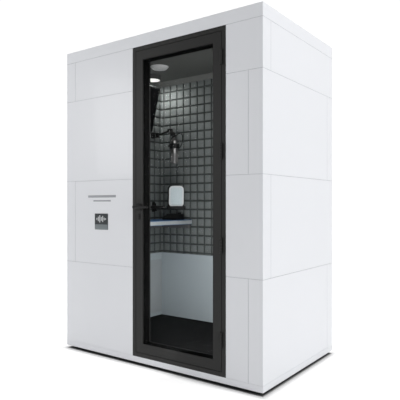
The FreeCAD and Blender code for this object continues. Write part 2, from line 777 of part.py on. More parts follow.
# ---- microphone, shock mount and cable -----------------------------------------------------------------
mic_reach = head_reach + 26.0
mic_radius = 27.0
mic_wall = 2.5
mic_floor = 6.0                # solid end of the body above the basket
mic_low = 1326.0
mic_high = 1520.0
basket_height = 78.0
tail_radius = 13.0
tail_height = 22.0
mount_low = 1440.0
mount_high = 1476.0
mount_inner = mic_radius + 5.0
mount_outer = mount_inner + 5.0
side_knob = 46.0               # outer end of the side stud, from the microphone's axis
plug_radius = 9.0
plug_height = 24.0
nose_length = 16.0
cable_radius = 3.0
stem_back = 16.0               # thickness of the yoke's back bar
yoke_half = 6.0
knee_height = 12.0
neck_half = 5.0
basket_round = 9.0
stud_radius = 4.0
stud_knob_radius = 7.0
pad_half = 5.0
pad_margin = 8.0
bite = 2.0                     # how far joined pieces of one casting run into each other
gland_length = 20.0

# Across the boom, along it from the microphone's axis, and height.
cable_route = (
    (19.0, 0.0, 1544.0),
    (30.3, 0.0, 1553.0),
    (44.0, 0.0, 1557.6),
    (57.9, 0.0, 1552.6),
    (65.6, -0.5, 1539.6),
    (67.0, -1.5, 1521.0),
    (66.0, -4.5, 1499.0),
    (62.5, -10.0, 1477.5),
    (56.5, -18.5, 1459.5),
    (46.0, -29.0, 1447.5),
    (31.5, -38.5, 1443.0),
    (17.5, -44.0, 1448.5),
)


def make_microphone():
    basket_high = mic_low + basket_height
    basket = rod(at(mic_reach, 0, mic_low), Z, mic_radius, basket_height)
    basket = basket.makeFillet(basket_round, [e for e in basket.Edges if e.BoundBox.ZMax < mic_low + 0.1])
    hollow = rod(at(mic_reach, 0, mic_low + mic_wall), Z, mic_radius - mic_wall, basket_height)
    floor_edges = [e for e in hollow.Edges if e.BoundBox.ZMax < mic_low + mic_wall + 0.1]
    hollow = hollow.makeFillet(basket_round - mic_wall, floor_edges)
    save("mic_grille", boom_placed(basket.cut(hollow)))
    shoulder = mic_high - tail_height
    body = rod(at(mic_reach, 0, basket_high), Z, mic_radius, shoulder - basket_high)
    body = body.cut(rod(at(mic_reach, 0, basket_high + mic_floor), Z, mic_radius - mic_wall,
                        shoulder - basket_high - mic_floor))
    tail = Part.makeCone(mic_radius, tail_radius, tail_height, at(mic_reach, 0, shoulder), Z)
    save("mic_body", boom_placed(body.fuse(tail).removeSplitter()))

    ring = tube(at(mic_reach, 0, mount_low), Z, mount_outer, mount_inner, mount_high - mount_low)
    middle = (mount_low + mount_high) / 2
    stud = rod(at(mic_reach, -mount_inner - bite, middle), -Y, stud_radius, side_knob - mount_inner - bite)
    stud = stud.fuse(rod(at(mic_reach, -side_knob + stud_knob_radius, middle), -Y, stud_knob_radius,
                         stud_knob_radius + bite))
    mount = ring.fuse(stud)
    band = tube(at(0, 0, mount_low), Z, mount_inner + 1.0, mic_radius, mount_high - mount_low)
    for turn in (45, 135, 225, 315):
        pad = block(mic_radius - bite, mount_inner + bite, -pad_half, pad_half,
                    mount_low + pad_margin, mount_high - pad_margin).common(band)
        pad = turned(pad, at(0, 0, 0), Z, turn)
        pad.translate(at(mic_reach, 0, 0))
        mount = mount.fuse(pad)
    save("shock_mount", boom_placed(mount.removeSplitter()))

    bar_front = mic_reach - mount_outer + 2 * bite
    bar_back = bar_front - stem_back
    knee_low = mic_high - knee_height / 2
    knee_high = knee_low + knee_height
    yoke = block(bar_back, bar_front, -yoke_half, yoke_half, mount_low, knee_high)
    yoke = yoke.fuse(block(bar_back, head_reach + neck_half, -yoke_half, yoke_half, knee_low, knee_high))
    yoke = yoke.fuse(block(head_reach - neck_half, head_reach + neck_half, -yoke_half, yoke_half,
                           knee_low, head_z))
    yoke = yoke.cut(rod(at(mic_reach, 0, mount_low), Z, mount_outer, mount_high - mount_low))
    yoke = yoke.cut(rod(at(mic_reach, 0, mount_high), Z, mic_radius + 3.0, mic_high - mount_high + 1.0))
    yoke = yoke.fuse(eye(head_reach, head_z)).fuse(cable_gland())
    save("mic_yoke", boom_placed(yoke.removeSplitter()))

    plug = rod(at(mic_reach, 0, mic_high), Z, plug_radius, plug_height)
    plug = plug.makeFillet(bite, [e for e in plug.Edges if e.BoundBox.ZMin > mic_high + plug_height - 0.1])
    points = [at(mic_reach + along, side, z) for side, along, z in cable_route]
    outward = points[1] - points[0]
    outward.normalize()
    nose_start = points[0] - outward * nose_length
    nose = Part.makeCone(plug_radius * 0.7, cable_radius + 1.0, nose_length, nose_start, outward)
    save("mic_plug", boom_placed(plug.fuse(nose).removeSplitter()))

    save("mic_cable", boom_placed(cord(points, cable_radius)))


def cable_gland():
    """The sleeve on the yoke's back bar that the cable runs into, in line with its last run."""
    side, along, z = cable_route[-1]
    before = cable_route[-2]
    tip = at(mic_reach + along, side, z)
    inward = tip - at(mic_reach + before[1], before[0], before[2])
    return rod(tip, inward, cable_radius + 2.0, gland_length)


def cord(points, radius):
    """A tube of straight runs joined by tangent arcs; prints its radii, length and volume."""
    edges = []
    radii = []
    last = points[0]
    for before, corner, after in zip(points, points[1:], points[2:]):
        into = corner - before
        out = after - corner
        turn = into.getAngle(out)
        trim = 0.45 * min(into.Length, out.Length)
        bend = trim / math.tan(turn / 2)
        radii.append(round(bend, 1))
        into.normalize()
        out.normalize()
        start = corner - into * trim
        end = corner + out * trim
        inward = out - into
        inward.normalize()
        crown = corner + inward * (bend / math.cos(turn / 2) - bend)
        edges.append(Part.LineSegment(last, start).toShape())
        edges.append(Part.Arc(start, crown, end).toShape())
        last = end
    edges.append(Part.LineSegment(last, points[-1]).toShape())
    path = Part.Wire(edges)
    profile = Part.Wire([Part.Circle(points[0], points[1] - points[0], radius).toShape()])
    pipe = path.makePipeShell([profile], True, True)
    print("cable bend radii", radii, "length", round(path.Length, 1),
          "volume over section", round(pipe.Volume / (math.pi * radius ** 2), 1))
    return pipe


# ---- tablet on a swing arm over the desk -----------------------------------------------------------------
# Built like the boom, in its own frame: the post on the vertical axis and X along the arm.
tablet_post_x = -632.0
tablet_post_y = front + 774.0
tablet_arm_z = 989.0
tablet_reach = 288.0
tablet_turn = -15.0            # direction of the arm about +Z, at rest
tablet_facing = 51.0           # turn of the tablet's face from the arm's across direction
tablet_width = 114.0
tablet_tall = 168.0
tablet_thickness = 9.0
tablet_lean = 14.0
post_radius = 6.0
arm_radius = 5.0
tablet_corner = 30.0
tablet_bezel = 11.0
tablet_glass_depth = 1.5
tablet_plate = 5.0
bracket_half_width = 16.0
bracket_below = 26.0
bracket_above = 56.0
post_fall = 20.0               # lower shelf below the arm
post_rise = 14.0               # upper shelf above it
post_tail = 24.0               # post above the upper shelf
post_shelf = 6.0
post_shelf_half = 9.0
tray_thickness = 7.0
tray_overhang = 14.0
tray_front = -14.0
tray_back = 16.0
plate_front = 4.0              # the tablet's back rests on this plane
plate_thickness = 6.0
plate_left = 12.0              # how far the back plate shows past the tablet on the left
plate_right = 2.0
plate_over = 16.0              # and over its top, from the tray
tablet_lift = 9.5              # bottom of the tablet above the tray's underside
knuckle_radius = 11.0
knuckle_fall = 9.0
knuckle_rise = 5.0
peg_radius = 4.0
peg_height = 7.0


def tablet_placed(shape):
    shape = shape.copy()
    shape.rotate(at(0, 0, 0), Z, tablet_turn)
    shape.translate(at(tablet_post_x, tablet_post_y, 0))
    return shape


def make_tablet():
    base = block(cabin_left, cabin_left + tablet_plate, tablet_post_y - bracket_half_width,
                 tablet_post_y + bracket_half_width, tablet_arm_z - bracket_below, tablet_arm_z + bracket_above)
    low = tablet_arm_z - post_fall
    high = tablet_arm_z + post_rise
    for level in (low, high):
        base = base.fuse(block(cabin_left + tablet_plate, tablet_post_x + post_shelf_half,
                               tablet_post_y - post_shelf_half, tablet_post_y + post_shelf_half,
                               level, level + post_shelf))
    post_length = high + post_shelf - low + post_tail
    hole = rod(at(tablet_post_x, tablet_post_y, low), Z, post_radius + running, post_length)
    save("tablet_wall_bracket", base.cut(hole).removeSplitter())

    arm = rod(at(0, 0, low), Z, post_radius, post_length)
    collar_low = low + post_shelf + air
    arm = arm.fuse(rod(at(0, 0, collar_low), Z, post_shelf_half, high - air - collar_low))
    arm = arm.fuse(rod(at(0, 0, tablet_arm_z), X, arm_radius, tablet_reach))
    arm = arm.fuse(rod(at(tablet_reach, 0, tablet_arm_z - knuckle_fall), Z, knuckle_radius,
                       knuckle_fall + knuckle_rise))
    arm = arm.fuse(rod(at(tablet_reach, 0, tablet_arm_z + knuckle_rise), Z, peg_radius, peg_height))
    save("tablet_arm", tablet_placed(arm.removeSplitter()))

    # The cradle turns on the peg; it is built facing -Y and then turned towards the user.
    tray_low = tablet_arm_z + knuckle_rise + air
    half = tablet_width / 2
    tray = block(-half - tray_overhang, half + tray_overhang, tray_front, tray_back,
                 tray_low, tray_low + tray_thickness)
    tray = rounded(tray, tray_thickness - 1.0, Z)
    plate_back = plate_front + plate_thickness
    back_plate = block(-half - plate_left, half + plate_right, plate_front, plate_back,
                       tray_low - plate_over, tray_low + tablet_tall + plate_over)
    back_plate = rounded(back_plate, tablet_corner, Y)
    lean_point = at(0, plate_front, tray_low + tray_thickness)
    back_plate = turned(back_plate, lean_point, X, -tablet_lean)
    above_tray = block(-tablet_tall, tablet_tall, -tablet_tall, tablet_tall,
                       tray_low, tray_low + 2 * tablet_tall)
    cradle = tray.fuse(back_plate).common(above_tray)
    cradle = cradle.cut(rod(at(0, 0, tray_low), Z, peg_radius + running, tray_thickness + air))

    face = plate_front - tablet_thickness
    tablet_low = tray_low + tablet_lift
    tablet_high = tablet_low + tablet_tall
    tablet = rounded(block(-half, half, face, plate_front, tablet_low, tablet_high), tablet_corner, Y)
    screen = block(-half + tablet_bezel, half - tablet_bezel, face, face + tablet_glass_depth,
                   tablet_low + tablet_bezel, tablet_high - tablet_bezel)
    screen = rounded(screen, tablet_corner - tablet_bezel, Y)
    pieces = {"tablet_cradle": cradle.removeSplitter(),
              "tablet_case": turned(tablet.cut(screen), lean_point, X, -tablet_lean),
              "tablet_screen": turned(screen, lean_point, X, -tablet_lean)}
    for name, shape in pieces.items():
        shape = turned(shape, at(0, 0, 0), Z, tablet_facing)
        shape.translate(at(tablet_reach, 0, 0))
        save(name, tablet_placed(shape))


# ---- audio console on the desk --------------------------------------------------------------------------
console_left = -532.0
console_right = -390.0
console_front = front + 742.0
console_back = front + 842.0
console_tall = 46.0
console_slope = 12.0
console_shelf = 40.0           # level part at the back, where the dial sits
dial_inset_x = 30.0
dial_inset_y = 20.0
dial_radius = 14.0
dial_height = 12.0
dial_shaft_radius = 3.0
dial_shaft_depth = 8.0
dial_mark_half = 1.0
dial_mark_length = 6.0


def make_console():
    low = desk_height
    top_face = low + console_tall
    profile = Part.makePolygon([at(console_left, console_front, low), at(console_left, console_back, low),
                                at(console_left, console_back, top_face),
                                at(console_left, console_back - console_shelf, top_face),
                                at(console_left, console_front, low + console_slope),
                                at(console_left, console_front, low)])
    case = Part.Face(profile).extrude(X * (console_right - console_left))
    dial_x = console_right - dial_inset_x
    dial_y = console_back - dial_inset_y
    shaft_low = top_face - dial_shaft_depth
    save("audio_console", case.cut(rod(at(dial_x, dial_y, shaft_low), Z, dial_shaft_radius + running,
                                       dial_shaft_depth)))
    dial = rod(at(dial_x, dial_y, top_face + air), Z, dial_radius, dial_height)
    dial = dial.fuse(rod(at(dial_x, dial_y, shaft_low + air), Z, dial_shaft_radius,
                         dial_shaft_depth + dial_height / 2))
    mark = block(dial_x - dial_mark_half, dial_x + dial_mark_half, dial_y + dial_radius - dial_mark_length,
                 dial_y + dial_radius, top_face, top_face + dial_height + 1.0)
    save("console_dial", dial.cut(mark).removeSplitter())


# ---- light switch and badge --------------------------------------------------------------------
switch_x = 640.0
switch_z = 1100.0
switch_size = 80.0
rocker_width = 36.0
rocker_tall = 56.0
rocker_play = 1.2
rocker_back = 4.0              # back and front of the rocker, from the wall
rocker_front = 11.0
plate_depth = 9.0
plate_floor = 1.0
plate_corner = 5.0
axle_radius = 1.5
axle_reach = 3.0               # how far the axle reaches past the rocker on each side
axle_depth = 5.0
badge_x = -439.5
badge_z = 907.0
badge_width = 127.0
badge_tall = 108.0
badge_thickness = 1.5


def make_small_fittings():
    half = switch_size / 2
    plate = block(switch_x - half, switch_x + half, wall_front, wall_front + plate_depth,
                  switch_z - half, switch_z + half)
    plate = rounded(plate, plate_corner, Y)
    half_width = rocker_width / 2
    half_tall = rocker_tall / 2
    window = block(switch_x - half_width - rocker_play, switch_x + half_width + rocker_play,
                   wall_front + plate_floor, wall_front + plate_depth,
                   switch_z - half_tall - rocker_play, switch_z + half_tall + rocker_play)
    axle_half = half_width + axle_reach
    axle_y = wall_front + axle_depth
    bore_half = axle_half + 1.0
    bore = rod(at(switch_x - bore_half, axle_y, switch_z), X, axle_radius + running, 2 * bore_half)
    save("switch_plate", plate.cut(window).cut(bore))
    rocker = block(switch_x - half_width, switch_x + half_width, wall_front + rocker_back,
                   wall_front + rocker_front, switch_z - half_tall, switch_z + half_tall)
    axle = rod(at(switch_x - axle_half, axle_y, switch_z), X, axle_radius, 2 * axle_half)
    save("switch_rocker", rocker.fuse(axle).removeSplitter())

    badge = block(badge_x - badge_width / 2, badge_x + badge_width / 2, front - badge_thickness, front,
                  badge_z - badge_tall / 2, badge_z + badge_tall / 2)
    save("badge_plate", rounded(badge, 2 * badge_thickness, Y))


PARTS = (make_base, make_foam, make_linings, make_walls, make_roof, make_lamp, make_valve, make_ventilation,
         make_door_frame, make_door_leaf, make_hinges, make_handle, make_desk, make_screen, make_boom,
         make_microphone, make_tablet, make_console, make_small_fittings)

os.makedirs("parts", exist_ok=True)
for make in PARTS:
    make()
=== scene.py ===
import math
import bpy
from mathutils import Euler, Matrix, Vector


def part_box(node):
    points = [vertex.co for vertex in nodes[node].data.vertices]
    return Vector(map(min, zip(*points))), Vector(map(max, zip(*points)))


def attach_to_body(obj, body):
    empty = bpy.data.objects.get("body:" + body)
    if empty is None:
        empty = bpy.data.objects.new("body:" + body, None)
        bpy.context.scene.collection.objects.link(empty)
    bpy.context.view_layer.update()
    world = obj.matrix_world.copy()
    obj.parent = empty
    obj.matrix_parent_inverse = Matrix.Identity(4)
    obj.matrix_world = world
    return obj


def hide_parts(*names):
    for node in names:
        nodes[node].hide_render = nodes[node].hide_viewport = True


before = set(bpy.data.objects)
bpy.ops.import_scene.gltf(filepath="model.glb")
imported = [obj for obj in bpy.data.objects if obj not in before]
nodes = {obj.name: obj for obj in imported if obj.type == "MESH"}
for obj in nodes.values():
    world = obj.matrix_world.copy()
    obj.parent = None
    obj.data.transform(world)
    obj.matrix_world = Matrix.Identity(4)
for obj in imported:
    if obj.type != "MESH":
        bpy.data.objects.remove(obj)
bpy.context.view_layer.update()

# ---- Camera --------------------------------------------------------------------------------------
# A level camera at chest height, to the right of the door, about three and a half metres away.
# It looks 36 degrees to the left of straight on.
view_turn = 36
camera_data = bpy.data.cameras.new("view_camera")
camera_data.lens = 45.07
camera_data.sensor_width = 36.0
camera_data.shift_y = 0.0125
camera = bpy.data.objects.new("view_camera", camera_data)
camera.location = (2.085, -2.8055, 1.019)
camera.rotation_euler = (math.radians(90), 0, math.radians(view_turn))
bpy.context.scene.collection.objects.link(camera)
bpy.context.scene.camera = camera


# ---- Microphone cable ----------------------------------------------------------------------------
# A limp 6 mm rubber-sheathed cable. It rises out of the gland on the yoke, loops out to the side of
# the microphone and comes down into the plug on its tail.
boom_foot = Vector((-0.607, 0.3075, 0))
boom_turn = Matrix.Rotation(math.radians(-30.3), 4, "Z")
mic_reach = 0.390              # from the boom's foot to the microphone's axis
gloss_spread = 0.12            # how far the mottle moves the gloss to either side


def on_boom(along, across, height):
    """A point given along the boom and across it, in the booth."""
    return boom_foot + boom_turn @ Vector((along, across, height))


def material(name, colour, roughness, mottle=0.04, mottle_scale=6.0, grain=0.05, grain_scale=600.0,
             metallic=0.0, depth=0.0002, specular=0.5):
    """A coloured surface with a broad mottle in its colour and gloss and a fine grain in its relief."""
    made = bpy.data.materials.new(name)
    made.use_nodes = True
    tree = made.node_tree
    shader = tree.nodes["Principled BSDF"]
    shader.inputs["Metallic"].default_value = metallic
    shader.inputs["Specular IOR Level"].default_value = specular
    place = tree.nodes.new("ShaderNodeTexCoord")

    broad = tree.nodes.new("ShaderNodeTexNoise")
    broad.inputs["Scale"].default_value = mottle_scale
    broad.inputs["Detail"].default_value = 4.0
    tree.links.new(place.outputs["Object"], broad.inputs["Vector"])
    shade = tree.nodes.new("ShaderNodeMix")
    shade.data_type = "RGBA"
    shade.inputs["A"].default_value = [c * (1 - mottle) for c in colour] + [1]
    shade.inputs["B"].default_value = [min(1, c * (1 + mottle)) for c in colour] + [1]
    tree.links.new(broad.outputs["Fac"], shade.inputs["Factor"])
    tree.links.new(shade.outputs["Result"], shader.inputs["Base Color"])

    gloss = tree.nodes.new("ShaderNodeMapRange")
    gloss.inputs["To Min"].default_value = roughness * (1 - gloss_spread)
    gloss.inputs["To Max"].default_value = min(1.0, roughness * (1 + gloss_spread))
    tree.links.new(broad.outputs["Fac"], gloss.inputs["Value"])
    tree.links.new(gloss.outputs["Result"], shader.inputs["Roughness"])

    fine = tree.nodes.new("ShaderNodeTexNoise")
    fine.inputs["Scale"].default_value = grain_scale
    fine.inputs["Detail"].default_value = 2.0
    tree.links.new(place.outputs["Object"], fine.inputs["Vector"])
    relief = tree.nodes.new("ShaderNodeBump")
    relief.inputs["Strength"].default_value = grain
    relief.inputs["Distance"].default_value = depth
    tree.links.new(fine.outputs["Fac"], relief.inputs["Height"])
    tree.links.new(relief.outputs["Normal"], shader.inputs["Normal"])
    return made


cable_route = (            # along the boom from the microphone's axis, across it, and height
    (-0.0440, 0.0175, 1.4485),
    (-0.0385, 0.0315, 1.4430),
    (-0.0290, 0.0460, 1.4475),
    (-0.0185, 0.0565, 1.4595),
    (-0.0100, 0.0625, 1.4775),
    (-0.0045, 0.0660, 1.4990),
    (-0.0015, 0.0670, 1.5210),
    (-0.0005, 0.0656, 1.5396),
    (0.0000, 0.0579, 1.5526),
    (0.0000, 0.0440, 1.5576),
    (0.0000, 0.0303, 1.5530),
    (0.0000, 0.0190, 1.5440),
)
cable_radius = 0.003
cable_curve = bpy.data.curves.new("mic_cable_line", "CURVE")
cable_curve.dimensions = "3D"
cable_curve.bevel_depth = cable_radius
cable_curve.bevel_resolution = 4
cable_curve.use_fill_caps = True
spline = cable_curve.splines.new("NURBS")
spline.points.add(len(cable_route) - 1)
for point, (along, across, height) in zip(spline.points, cable_route):
    point.co = (*on_boom(mic_reach + along, across, height), 1)
spline.order_u = 3
spline.use_endpoint_u = True
spline.resolution_u = 12
cable = bpy.data.objects.new("mic_cable_loop", cable_curve)
bpy.context.scene.collection.objects.link(cable)
cable_rubber = material("cable_rubber", (0.004, 0.004, 0.004), 0.7, mottle=0.12, grain=0.2,
                        specular=0.1)
cable_curve.materials.append(cable_rubber)
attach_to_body(cable, "mic_head")
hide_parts("mic_cable")


# ---- Wall blocks, base and roof ------------------------------------------------------------------
# Thick interlocking blocks of dense board with a satin white lacquer. Each course laps the corner the
# other way round from the one below. The roof and the base frame have the same finish.
def paint(surface, *names):
    """Gives fixed parts their finish."""
    for name in names:
        for place in nodes[name].material_slots:
            place.material = surface


white_lacquer = material("white_lacquer", (0.700, 0.712, 0.742), 0.34, mottle=0.012, mottle_scale=2.2,
                         grain=0.06, grain_scale=420.0)
white_lacquer.node_tree.nodes["Principled BSDF"].inputs["Coat Weight"].default_value = 0.12
paint(white_lacquer, "front_wall_blocks", "right_wall_blocks", "back_wall_blocks", "left_wall_blocks",
      "roof_panel", "base_frame")

# Rubber feet, black plastic in the air ways, and plain dark board where nobody looks.
foot_rubber = material("foot_rubber", (0.018, 0.018, 0.018), 0.7, mottle=0.15, grain=0.3,
                       grain_scale=250.0)
sleeve_plastic = material("sleeve_plastic", (0.03, 0.03, 0.032), 0.5, grain=0.15)
dark_board = material("dark_board", (0.10, 0.10, 0.10), 0.6, mottle=0.1, grain=0.2)
paint(foot_rubber, "feet")
paint(sleeve_plastic, "wall_sleeves", "air_grilles", "fan_housing", "fan_rotor")
paint(dark_board, "floor_panel", "desk_cleats")


# ---- Door frame and leaf -------------------------------------------------------------------------
# Mitred aluminium profiles with a fine-textured anthracite powder coat. The leaf holds an outer and an
# inner pane in black rubber, and shuts on a rubber seal round the stop.
anthracite = material("anthracite", (0.017, 0.017, 0.0165), 0.5, mottle=0.08, mottle_scale=3.0,
                      grain=0.35, grain_scale=900.0, specular=0.25)
paint(anthracite, "door_frame", "door_leaf", "hinge_frame_leaves", "hinge_door_leaves")
seal_rubber = material("seal_rubber", (0.002, 0.002, 0.002), 0.8, mottle=0.2, grain=0.2, specular=0.05)
paint(seal_rubber, "door_seal", "glazing_liner")

door_glass = bpy.data.materials.new("door_glass")
door_glass.use_nodes = True
glass_shader = door_glass.node_tree.nodes["Principled BSDF"]
glass_shader.inputs["Base Color"].default_value = (0.010, 0.012, 0.012, 1)
glass_shader.inputs["Roughness"].default_value = 0.02
glass_shader.inputs["Alpha"].default_value = 0.025
glass_shader.inputs["Specular IOR Level"].default_value = 0.06
paint(door_glass, "door_panes")


# ---- Seams between the wall blocks ---------------------------------------------------------------
# A thin grey gasket line lies in every joint of the courses and of the lapped corners. It is a strip
# let into the face of the wall, and the door opening interrupts it.
left_face, right_face = -0.795, 0.795
front_face, back_face = -0.4625, 0.5175
door_edges = (-0.150, 0.560)
wall_depth = 0.090
base_top = 0.055
course_joints = (0.620, 1.185, 1.750, 2.024)
seam_half = 0.0007
shallow, deep = 0.0002, 0.0009     # the strip's two faces, measured in from the wall's face
seam_ease = 0.0001
smooth_angle = 40


def start(add, name, **sizes):
    """Adds one primitive with nothing else selected, and names it."""
    bpy.ops.object.select_all(action="DESELECT")
    add(**sizes)
    piece = bpy.context.object
    piece.name = name
    piece.data.name = name
    return piece


def settle(piece):
    """Puts a finished piece's place, turn and size into its mesh."""
    bpy.ops.object.select_all(action="DESELECT")
    piece.select_set(True)
    bpy.context.view_layer.objects.active = piece
    bpy.ops.object.transform_apply(location=True, rotation=True, scale=True)


def eased(piece, size, segments=2):
    """Rounds the sharp edges of a settled piece."""
    ease = piece.modifiers.new("eased_edges", "BEVEL")
    ease.width = size
    ease.segments = segments
    ease.limit_method = "ANGLE"
    bpy.ops.object.modifier_apply(modifier=ease.name)
    bpy.ops.object.shade_smooth_by_angle(angle=math.radians(smooth_angle))


def box(low, high):
    """A plain block between two corners, its edges still sharp."""
    low, high = Vector(low), Vector(high)
    piece = start(bpy.ops.mesh.primitive_cube_add, "box", size=1.0,
                  location=(low + high) / 2, scale=high - low)
    settle(piece)
    return piece


def joined(name, pieces):
    """Several small pieces of one kind as a single object."""
    bpy.ops.object.select_all(action="DESELECT")
    for piece in pieces:
        piece.select_set(True)
    bpy.context.view_layer.objects.active = pieces[0]
    if len(pieces) > 1:
        bpy.ops.object.join()
    pieces[0].name = name
    pieces[0].data.name = name
    return pieces[0]


def attach(piece, body, surface):
    """Finishes a piece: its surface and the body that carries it."""
    piece.data.materials.clear()
    piece.data.materials.append(surface)
    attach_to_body(piece, body)


gaskets = []
for level in course_joints:
    low, high = level - seam_half, level + seam_half
    for side_low, side_high in ((left_face + deep, door_edges[0]), (door_edges[1], right_face - deep)):
        gaskets.append(box((side_low, front_face + shallow, low),
                           (side_high, front_face + deep, high)))
    gaskets.append(box((left_face + deep, back_face - deep, low),
                       (right_face - deep, back_face - shallow, high)))
    gaskets.append(box((left_face + shallow, front_face + deep, low),
                       (left_face + deep, back_face - deep, high)))
    gaskets.append(box((right_face - deep, front_face + deep, low),
                       (right_face - shallow, back_face - deep, high)))
course_starts = (base_top,) + course_joints[:-1]
for number, (low, high) in enumerate(zip(course_starts, course_joints)):
    if number % 2 == 0:
        front_joint, back_joint = right_face - wall_depth, left_face + wall_depth
        left_joint, right_joint = front_face + wall_depth, back_face - wall_depth
    else:
        front_joint, back_joint = left_face + wall_depth, right_face - wall_depth
        left_joint, right_joint = back_face - wall_depth, front_face + wall_depth
    gaskets.append(box((front_joint - seam_half, front_face + shallow, low),
                       (front_joint + seam_half, front_face + deep, high)))
    gaskets.append(box((back_joint - seam_half, back_face - deep, low),
                       (back_joint + seam_half, back_face - shallow, high)))
    gaskets.append(box((left_face + shallow, left_joint - seam_half, low),
                       (left_face + deep, left_joint + seam_half, high)))
    gaskets.append(box((right_face - deep, right_joint - seam_half, low),
                       (right_face - shallow, right_joint + seam_half, high)))
seams = joined("wall_seams", gaskets)
eased(seams, seam_ease, 1)
seam_grey = material("seam_grey", (0.36, 0.38, 0.41), 0.7, mottle=0.05, grain=0.1)
attach(seams, "root", seam_grey)


# ---- Hinges, lever and lock ----------------------------------------------------------------------
# Four surface hinges turn on black pins. A black lever on a round rose lifts to throw the bolt, and
# a key cylinder sits in a narrow plate below it. The bolt and its case are satin steel.
black_metal = material("black_metal", (0.007, 0.007, 0.007), 0.5, mottle=0.1, grain=0.25,
                       grain_scale=900.0, specular=0.2)
paint(black_metal, "levers", "handle_roses", "hinge_pins", "screen_bracket",
      "boom_base", "boom_arm", "boom_link", "mic_yoke", "mic_plug", "tablet_wall_bracket", "tablet_arm")


def brushed(name, colour, roughness, stretch):
    """Metal brushed along one direction: its fine relief is drawn out along it."""
    made = material(name, colour, roughness, mottle=0.03, metallic=1.0)
    tree = made.node_tree
    place = tree.nodes["Texture Coordinate"]
    turn = tree.nodes.new("ShaderNodeMapping")
    turn.inputs["Scale"].default_value = stretch
    tree.links.new(place.outputs["Object"], turn.inputs["Vector"])
    fine = [n for n in tree.nodes if n.type == "TEX_NOISE"][1]
    tree.links.new(turn.outputs["Vector"], fine.inputs["Vector"])
    return made


satin_steel = brushed("satin_steel", (0.50, 0.50, 0.51), 0.32, (1.0, 1.0, 0.05))
paint(satin_steel, "strike_plate", "lock_case", "lever_spindle", "latch_bolt")

# Three flat screw heads on each hinge plate.
hinge_levels = (0.260, 0.790, 1.320, 1.850)
screw_steps = (-0.030, 0.0, 0.030)
hinge_axis_x = 0.5325
leaf_middle = 0.0115               # from the hinge's axis to the middle of either plate
screw_radius, screw_height = 0.0025, 0.0008
screw_proud = 0.0012               # from the wall's face to the middle of a head
screw_ease = 0.0002
face_out = (math.radians(90), 0, 0)


def bar(name, low, high, ease):
    """A block between two corners with eased edges."""
    piece = box(low, high)
    piece.name = name
    piece.data.name = name
    eased(piece, ease)
    return piece


def disc(name, middle, radius, height, turn, ease):
    """A round button or screw head along Z before it is turned."""
    piece = start(bpy.ops.mesh.primitive_cylinder_add, name, vertices=24, radius=radius, depth=height,
                  location=middle, rotation=turn)
    settle(piece)
    eased(piece, ease)
    return piece


for body, side in (("root", 1), ("door", -1)):
    screw_x = hinge_axis_x + side * leaf_middle
    heads = [disc("hinge_screw", (screw_x, front_face - screw_proud, level + step),
                  screw_radius, screw_height, face_out, screw_ease)
             for level in hinge_levels for step in screw_steps]
    attach(joined("hinge_screws_" + body, heads), body, black_metal)

# The key plate, and the barrel in it with its slot cut by a thin blade.
key_x, key_z = -0.0950, 0.9450
plate_half_width, plate_half_height = 0.011, 0.020
plate_depth = 0.003
barrel_radius, barrel_depth = 0.0075, 0.003
slot_half_width, slot_half_height = 0.0008, 0.005
slot_outer, slot_inner = 0.0075, 0.0050     # how far the blade stands off the wall's face
plate_ease, barrel_ease, slot_ease = 0.0015, 0.0006, 0.0002
key_plate = bar("key_plate",
                (key_x - plate_half_width, front_face - plate_depth, key_z - plate_half_height),
                (key_x + plate_half_width, front_face, key_z + plate_half_height), plate_ease)
attach(key_plate, "door", black_metal)
key_barrel = disc("key_barrel", (key_x, front_face - plate_depth - barrel_depth / 2, key_z),
                  barrel_radius, barrel_depth, face_out, barrel_ease)
key_slot = bar("key_slot", (key_x - slot_half_width, front_face - slot_outer, key_z - slot_half_height),
               (key_x + slot_half_width, front_face - slot_inner, key_z + slot_half_height), slot_ease)
cut = key_barrel.modifiers.new("key_slot", "BOOLEAN")
cut.operation = "DIFFERENCE"
cut.object = key_slot
bpy.ops.object.select_all(action="DESELECT")
bpy.context.view_layer.objects.active = key_barrel
key_barrel.select_set(True)
bpy.ops.object.modifier_apply(modifier=cut.name)
bpy.data.objects.remove(key_slot)
attach(key_barrel, "door", black_metal)


# ---- Foam ----------------------------------------------------------------------------------------
# Open-cell grey acoustic foam cut in a square waffle relief, glued into the recess of each wall above
# the lining. One cell is modelled and repeated, and the sheet is trimmed to its wall.
cell = 0.0697
groove = 0.0045
relief_depth = 0.012
groove_shade_top = -0.007             # below this the grooves take a darker colour: painted shade
groove_shade_floor = -1.5 * relief_depth     # below this are only the sheet's sides and back
side_step = 0.02               # how far the sheet's sides are drawn back at first
foam_back_plane = -0.035       # where the flat back of the sheet lies
merge_gap = 0.0001
relief_angle = 50
relief_steps = (               # how far in each ring of a cell lies, and how far it rises
    (groove * 0.5, 0.0),
    (groove, relief_depth * 0.75),
    (groove * 1.6, relief_depth * 0.2),
    (cell * 0.2, relief_depth * 0.05),
)


